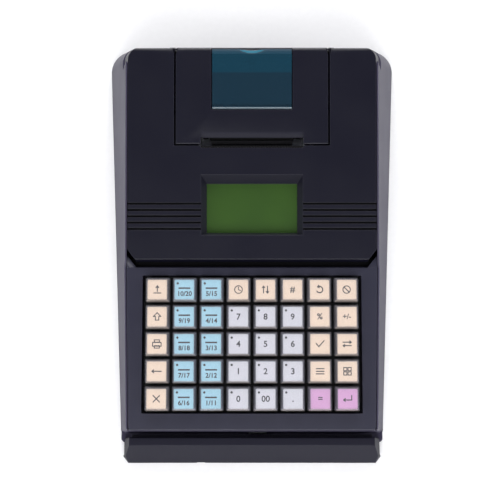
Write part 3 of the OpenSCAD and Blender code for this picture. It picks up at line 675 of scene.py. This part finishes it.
HOUSE = [(0, 2.8), (-2.6, 0.2), (-1.2, 0.2), (-1.2, -2.4), (1.2, -2.4), (1.2, 0.2), (2.6, 0.2)]
SIGNS = {
    "feed": [(arrow, (0, -1.2), (0, 2.6)), (ribbon, [(-2.4, -2.4), (2.4, -2.4)])],
    "shift": [(ribbon, HOUSE, FINE, True)],
    "print": [(frame_sign, 0, -0.3, 3.0, 1.3), (frame_sign, 0, 2.0, 1.8, 0.8),
              (frame_sign, 0, -2.1, 1.8, 0.8)],
    "back": [(arrow, (3.2, 0), (-3.2, 0))],
    "clear": [(ribbon, [(-2.2, -2.2), (2.2, 2.2)]), (ribbon, [(-2.2, 2.2), (2.2, -2.2)])],
    "clock": [(ribbon, arc(2.7, 0, 336), FINE, True),
              (ribbon, [(0, 1.8), (0, 0), (1.4, -0.7)], 0.6)],
    "change": [(arrow, (-1.4, -2.3), (-1.4, 2.4), 1.2), (arrow, (1.4, 2.3), (1.4, -2.4), 1.2)],
    "undo": [(ribbon, arc(2.2, -150, 110)), (arrow, (0.2, 2.3), (-1.4, 1.9), 1.3)],
    "cancel": [(ribbon, arc(2.6, 0, 336), FINE, True), (ribbon, [(-1.8, 1.8), (1.8, -1.8)])],
    "tick": [(ribbon, [(-2.6, 0.2), (-0.8, -1.9), (2.8, 2.2)])],
    "swap": [(arrow, (-2.8, 1.2), (2.8, 1.2), 1.2), (arrow, (2.8, -1.2), (-2.8, -1.2), 1.2)],
    "bars": [(ribbon, [(-2.6, y), (2.6, y)]) for y in (-1.8, 0, 1.8)],
    "table": [(frame_sign, 1.5 * i, 1.5 * j, 1.1, 1.1) for i in (-1, 1) for j in (-1, 1)],
    "enter": [(ribbon, [(2.8, 2.2), (2.8, -0.8)]), (arrow, (2.8, -0.8), (-2.8, -0.8), 1.4)],
}
print(len(SIGNS), "drawn signs")

# %% [markdown]
# ## Setting out the keyboard
# Forty keys in five rows of eight. A letter gives each card's colour, and a word or number what
# is printed on it. The matrix of a key has its third axis along the key's stroke.

# %% Where each key goes and what it says

COLOURS = ["cbbccccc", "cbbgggcc", "cbbgggcc", "cbbgggcc", "cbbgggpp"]
PRINTED = [["feed", "10/20", "5/15", "clock", "change", "#", "undo", "cancel"],
           ["shift", "9/19", "4/14", "7", "8", "9", "%", "+/-"],
           ["print", "8/18", "3/13", "4", "5", "6", "tick", "swap"],
           ["back", "7/17", "2/12", "1", "2", "3", "bars", "table"],
           ["clear", "6/16", "1/11", "0", "00", ".", "=", "enter"]]


def key_matrix(node):
    """The middle of a CAD key's top, with X across, Y up the slope and Z out of the key."""
    low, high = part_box(node)
    points = [v.co for v in nodes[node].data.vertices]
    rise = max(p.dot(KEY_UP) for p in points)
    along = [p.dot(KEY_BACK) for p in points]
    middle = (Vector(((low.x + high.x) / 2, 0, 0)) + KEY_UP * rise
              + KEY_BACK * (max(along) + min(along)) / 2)
    turn = Matrix((ACROSS, KEY_BACK, KEY_UP)).transposed()
    return Matrix.Translation(middle) @ turn.to_4x4()


print("first key at", [round(v / MM, 1) for v in key_matrix("key_r1c1").translation])

# %% Printing the cards and placing forty keys

CARD = 13.8
LARGE, MEDIUM, SMALL = 4.3, 3.6, 3.3


def key_card(name, colour, printed):
    """A printed card with its ink, as one mesh with two materials."""
    mesh = bmesh.new()
    loft(mesh, [square(CARD - 0.1, 0.6, -1.28), square(CARD, 0.6, -1.0),
                square(CARD - 0.05, 0.55, -0.96)])
    if printed in SIGNS:
        for draw, *where in SIGNS[printed]:
            draw(mesh, *where)
    elif colour == "b":
        digits(mesh, printed, SMALL, (0.1, -3.0))
        ribbon(mesh, [(-3.6, 1.0), (3.6, 1.0)], 1.1)
    else:
        height = LARGE if len(printed) < 3 else MEDIUM
        digits(mesh, printed, height, (0, -0.2 if colour == "g" else 0))
    if colour in "bg":
        prism(mesh, arc(0.85, 0, 330, (-4.7, 4.4), 11))
    return finished(name, mesh, [CARDS[colour], CARD_INK])


for row, colours in enumerate(COLOURS):
    for column, colour in enumerate(colours):
        node = f"key_r{row + 1}c{column + 1}"
        seat = key_matrix(node)
        card = key_card(node + "_card", colour, PRINTED[row][column])
        place(node + "_base", base_meshes[colour], node, seat, None, [node])
        place(node + "_card", card, node, seat, CARD_SLOTS[colour], [node])
        place(node + "_cap", cap_data, node, seat, None, [node])
print("last key at", [round(v / MM, 1) for v in key_matrix("key_r5c8").translation])

# %% [markdown]
# ## The paper window
# The window wraps over the cover's rear edge. It is one sheet with a small step near its front
# edge, a thumb scoop at the top of the bend and a raised arrow that shows which way it opens.
# The CAD window is a plain bent sheet, so a new mesh with the scoop stands for it.

# %% The window's section

SHEET = 2.0
FACE = -0.35
FRONT_POINTS = 8
WRAP_POINTS = 4
window_low, window_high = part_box("cover_window")
WINDOW_HALF = window_high.x / MM - 0.5
top_run = [(107.7, -1.6), (107.8, -1.1), (108.3, -0.6), (109.2, FACE), (110.0, FACE),
           (110.3, -1.0), (111.2, -1.0), (111.5, FACE)]
top_run += [(t, FACE) for t in (114, 120, 127, 134, 140, 143, 145, 146.2, 147.2, 148)]
bend_run = [(148.9, -0.38), (149.7, -0.55), (150.3, -0.85), (150.75, -1.35), (151.0, -2.0)]
foot = deck_matrix.inverted() @ Vector((0, window_high.y, window_low.z)) / MM
start = Vector(bend_run[-1])
wrap_run = [start.lerp(foot.yz, (i + 1) / WRAP_POINTS) for i in range(WRAP_POINTS)]
outline = [Vector(p) for p in top_run + bend_run] + wrap_run
print("window is", round(2 * WINDOW_HALF, 1), "mm wide;", len(outline), "points in its section")

# %% Its inner face and the thumb scoop

SCOOP_HALF, SCOOP_LENGTH, SCOOP_DEPTH = 9.4, 3.6, 1.5


def inner_side(points, thickness):
    """The inner face of a sheet whose outer face runs along the points."""
    found = []
    for i, point in enumerate(points):
        along = (points[min(i + 1, len(points) - 1)] - points[max(i - 1, 0)]).normalized()
        found.append(point - Vector((-along.y, along.x)) * thickness)
    return found


def scoop_depth(x, t):
    """Depth of the thumb scoop below the window's face, a stretched ball's, in millimetres."""
    round_off = 1 - (x / SCOOP_HALF) ** 2 - ((t - DECK_LENGTH) / SCOOP_LENGTH) ** 2
    return SCOOP_DEPTH * math.sqrt(round_off) if round_off > 0 else 0.0


inner_line = inner_side(outline, SHEET)
for i in range(FRONT_POINTS):
    inner_line[i] = Vector((outline[i].x, FACE - SHEET))
print("scoop is", round(scoop_depth(0, 151), 2), "mm deep at the bend")

# %% The window sheet and its five copies of the teal, with painted light

WINDOW_LIT_COPIES = [TEAL_WINDOW, TEAL_SCOOP_BACKLIGHT, TEAL_REAR_LIT, TEAL_BEND_SHADED, TEAL_EDGE_HIGHLIGHT]
STATION = 1.4
EDGE_END, REAR_START, BEND_START = 109.1, 134, 147.5


def window_ring(x):
    """The sheet's section at a distance x across, with the scoop pressed into it."""
    ring = []
    for point in outline:
        depth = scoop_depth(x, point.x)
        ring.append(on_deck(x, point.x - 0.25 * depth, point.y - depth))
    return ring + [on_deck(x, point.x, point.y) for point in reversed(inner_line)]


def window_painted_light(centre):
    """Which copy of the teal, plain or with painted light or shade, a face takes, from its place
    on the deck.
    """
    across, along, above = deck_matrix.inverted() @ centre / MM
    if along < EDGE_END:
        return WINDOW_LIT_COPIES.index(TEAL_EDGE_HIGHLIGHT)
    if scoop_depth(across, along) > 0.25 and above > -2.4:
        return WINDOW_LIT_COPIES.index(TEAL_SCOOP_BACKLIGHT)
    if along > BEND_START and above > -1.8:
        return WINDOW_LIT_COPIES.index(TEAL_BEND_SHADED)
    return WINDOW_LIT_COPIES.index(TEAL_REAR_LIT if along > REAR_START else TEAL_WINDOW)


sides = [-WINDOW_HALF, -WINDOW_HALF + 0.4, WINDOW_HALF - 0.4, WINDOW_HALF]
mesh = bmesh.new()
loft(mesh, [window_ring(x) for x in sorted(sides + [i * STATION for i in range(-18, 19)])])
for face in mesh.faces:
    face.material_index = window_painted_light(face.calc_center_median())
window_data = finished("paper_window", mesh, WINDOW_LIT_COPIES, 40)
place("paper_window", window_data, "cover", None, "teal_window", ["cover_window"])
print("window faces:", len(window_data.polygons))

# %% The raised arrow on the window


def raised(mesh, points, low, high):
    """A closed raised shape over an outline in millimetres on the deck."""
    loft(mesh, [[on_deck(x, t, n) for x, t in points] for n in (low, high)])


ARROW_SUNK, ARROW_TOP = -0.5, -0.15
mesh = bmesh.new()
raised(mesh, [(-0.9, 136), (0.9, 136), (0.9, 141), (-0.9, 141)], ARROW_SUNK, ARROW_TOP)
raised(mesh, [(-2.6, 141), (2.6, 141), (0, 145)], ARROW_SUNK, ARROW_TOP)
place("window_arrow", finished("window_arrow", mesh, [TEAL_REAR_LIT]), "cover", None, "teal_window")
print("arrow rises", round(ARROW_TOP - FACE, 2), "mm above the window")

# %% [markdown]
# ## Sockets on the rear
# The leads plug in at the back: a barrel inlet for the power pack, a network socket and a
# 25-way serial socket. Each is a collar with a sunk floor, and pins or contacts stand in it.

# %% Collars and contacts

REAR_TURN = Matrix(((-1, 0, 0), (0, 0, 1), (0, 1, 0))).transposed().to_4x4()


def rear_matrix(x, y, z):
    """A frame on the rear panel whose third axis points out to the rear, at a place in mm."""
    return Matrix.Translation(Vector((x, y, z)) * MM) @ REAR_TURN


def collar(mesh, width, height, radius, low, high, lip, floor, finish=0, steps=4):
    """A cup: an outer wall up to a rim, and an inner wall, a lip's width in, down to a floor."""
    loft(mesh, [rounded_rectangle(w * MM, h * MM, r * MM, z * MM, steps) for w, h, r, z in (
        (width, height, radius, low), (width, height, radius, high - 0.2),
        (width - 0.3, height - 0.3, radius - 0.1, high),
        (width - 2 * lip + 0.2, height - 2 * lip + 0.2, radius - lip * 0.6, high),
        (width - 2 * lip, height - 2 * lip, radius - lip * 0.6, high - 0.2),
        (width - 2 * lip, height - 2 * lip, radius - lip * 0.6, floor))], finish)


def stud(mesh, x, y, width, height, low, high, finish=1):
    """A small upright bar or pin, with a softened end."""
    ring = rounded_rectangle(width * MM, height * MM, min(width, height) * 0.35 * MM, 0, 3)
    rings = [[p * scale + Vector((x, y, z)) * MM for p in ring]
             for scale, z in ((1, low), (1, high - 0.15), (0.8, high))]
    loft(mesh, rings, finish)


CONTACTS, CONTACT_PITCH = 8, 1.27
mesh = bmesh.new()
collar(mesh, 8, 8, 3.99, 0, 1.7, 1.1, 0.1, steps=8)
stud(mesh, 0, 0, 1.9, 1.9, 0, 1.5)
inlet = finished("lead_inlet", mesh, [SOCKET_NYLON, ZINC_STEEL])
place("lead_inlet", inlet, "housing", rear_matrix(-66, 140.4, 14))
mesh = bmesh.new()
collar(mesh, 14.4, 11.6, 0.8, 0, 1.6, 1.3, 0.1)
for i in range(CONTACTS):
    stud(mesh, -4.45 + CONTACT_PITCH * i, 2.6, 0.6, 4.6, 0, 0.7)
network = finished("network_socket", mesh, [SOCKET_NYLON, GOLD_CONTACT])
place("network_socket", network, "housing", rear_matrix(-46.5, 141.6, 17.6))
print("an inlet and a network socket with", CONTACTS, "contacts")

# %% The serial socket

PIN_PITCH = 2.1
mesh = bmesh.new()
collar(mesh, 29.6, 8.6, 2.4, 0, 3.2, 0.5, 0.2, 1, 5)
loft(mesh, [rounded_rectangle(27.6 * MM, 6.6 * MM, 1.6 * MM, z * MM) for z in (0.2, 2.4)])
for pins, first, row in ((13, -12.6, 1.4), (12, -11.55, -1.4)):
    for i in range(pins):
        stud(mesh, first + PIN_PITCH * i, row, 0.9, 0.9, 2.3, 2.75, 2)
serial = finished("serial_socket", mesh, [SOCKET_NYLON, TINNED_STEEL, GOLD_CONTACT])
place("serial_socket", serial, "housing", rear_matrix(-16, 141, 16.8))
print("a serial socket with 25 contacts")

# %% Marks on the rocker

ROCKER_TURN = Matrix.Rotation(math.radians(9), 4, "X")
MARK_LOW, MARK_HIGH = 2.3, 2.43
rocker_low, rocker_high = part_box("power_switch")
rocker_middle = Vector(((rocker_low.x + rocker_high.x) / 2, 0.140, 0.0177))
mesh = bmesh.new()
bar = [(-0.35, 1.2), (0.35, 1.2), (0.35, 3.4), (-0.35, 3.4)]
loft(mesh, [[Vector((x, y, z)) * MM for x, y in bar] for z in (MARK_LOW, MARK_HIGH)])
ring_out, ring_in = (arc(radius, 0, 345, (0, -2.3), 23) for radius in (1.15, 0.7))
rows = [[mesh.verts.new(Vector((x, y, z)) * MM) for x, y in line]
        for line, z in ((ring_out, MARK_LOW), (ring_out, MARK_HIGH),
                        (ring_in, MARK_HIGH), (ring_in, MARK_LOW))]
for low_row, high_row in zip(rows, rows[1:] + rows[:1]):
    for i, corner in enumerate(low_row):
        j = (i + 1) % len(low_row)
        mesh.faces.new((corner, low_row[j], high_row[j], high_row[i]))
place("rocker_marks", finished("rocker_marks", mesh, [WHITE_INK]), "rocker",
      Matrix.Translation(rocker_middle) @ ROCKER_TURN @ REAR_TURN)
print("rocker marks are", round(MARK_HIGH - MARK_LOW, 2), "mm thick")

# %% [markdown]
# ## Floor, light and camera
# The unit stands on a pale matt board under large soft boxes, as for a catalogue. The air
# straight above is left darker, because the deck faces it squarely and black plastic has to
# look black. The camera looks down at 76 degrees from 0.7 m, through a fairly long lens, at a
# point near the middle of the unit.

# %% Floor

# A pale matt board: bright, and without a reflection.
PALE_BOARD = plain_finish("pale_matt_board", "#F4F4F5", "#FAFAFB", 0.85, 4.0)
half = 3.0
floor_mesh = bmesh.new()
corners = ((-half, -half, 0), (half, -half, 0), (half, half, 0), (-half, half, 0))
floor_mesh.faces.new([floor_mesh.verts.new(corner) for corner in corners])
floor = bpy.data.objects.new("floor", finished("floor", floor_mesh, [PALE_BOARD]))
bpy.context.scene.collection.objects.link(floor)
print("floor", 2 * half, "m wide")

# %% Soft boxes


def soft_box(name, place_at, watts, size=1.2, aim=(0, 0, 0.03)):
    """A square soft box, of the given size in metres, that faces the unit."""
    light = bpy.data.lights.new(name, "AREA")
    light.shape = "SQUARE"
    light.size = size
    light.energy = watts
    lamp = bpy.data.objects.new(name, light)
    lamp.location = place_at
    lamp.rotation_euler = (Vector(aim) - Vector(place_at)).to_track_quat("-Z", "Y").to_euler()
    bpy.context.scene.collection.objects.link(lamp)


soft_box("left_box", (-1.5, -0.4, 1.2), 13)
soft_box("right_box", (1.5, -0.4, 1.2), 13)
soft_box("rear_box", (0, 1.6, 1.3), 30)
soft_box("front_box", (0, -1.5, 1.3), 30)

# %% Sky

sky = bpy.data.worlds.new("studio")
bpy.context.scene.world = sky
sky.use_nodes = True
tree = sky.node_tree
upward = add(tree, "SeparateXYZ", {0: add(tree, "TexCoord").outputs["Generated"]})
height = add(tree, "MapRange", {"Value": upward.outputs[2], "From Min": 0.15, "From Max": 0.75})
shade = add(tree, "Mix", {0: height.outputs[0], 6: linear("#F4F4F8"), 7: linear("#44444E")},
            data_type="RGBA")
add(tree, "Background", {"Color": shade.outputs[2], "Strength": 0.75})
scene = bpy.context.scene
scene.view_settings.view_transform = "Standard"
print("sky from horizon to top:", [round(linear(code)[2], 3) for code in ("#F4F4F8", "#44444E")])

# %% Camera

DISTANCE = 0.7
ELEVATION = math.radians(76)
AIM = Vector((-0.0014, -0.016, 0.05674))
back = Vector((0, -math.cos(ELEVATION), math.sin(ELEVATION)))
lens = bpy.data.cameras.new("camera")
lens.lens = 71.57
lens.sensor_width = 36
lens.clip_start = 0.05
camera = bpy.data.objects.new("camera", lens)
camera.location = AIM + back * DISTANCE
camera.rotation_mode = "QUATERNION"
camera.rotation_quaternion = (-back).to_track_quat("-Z", "Y")
scene.collection.objects.link(camera)
scene.camera = camera
print("camera at", [round(v, 3) for v in camera.location])
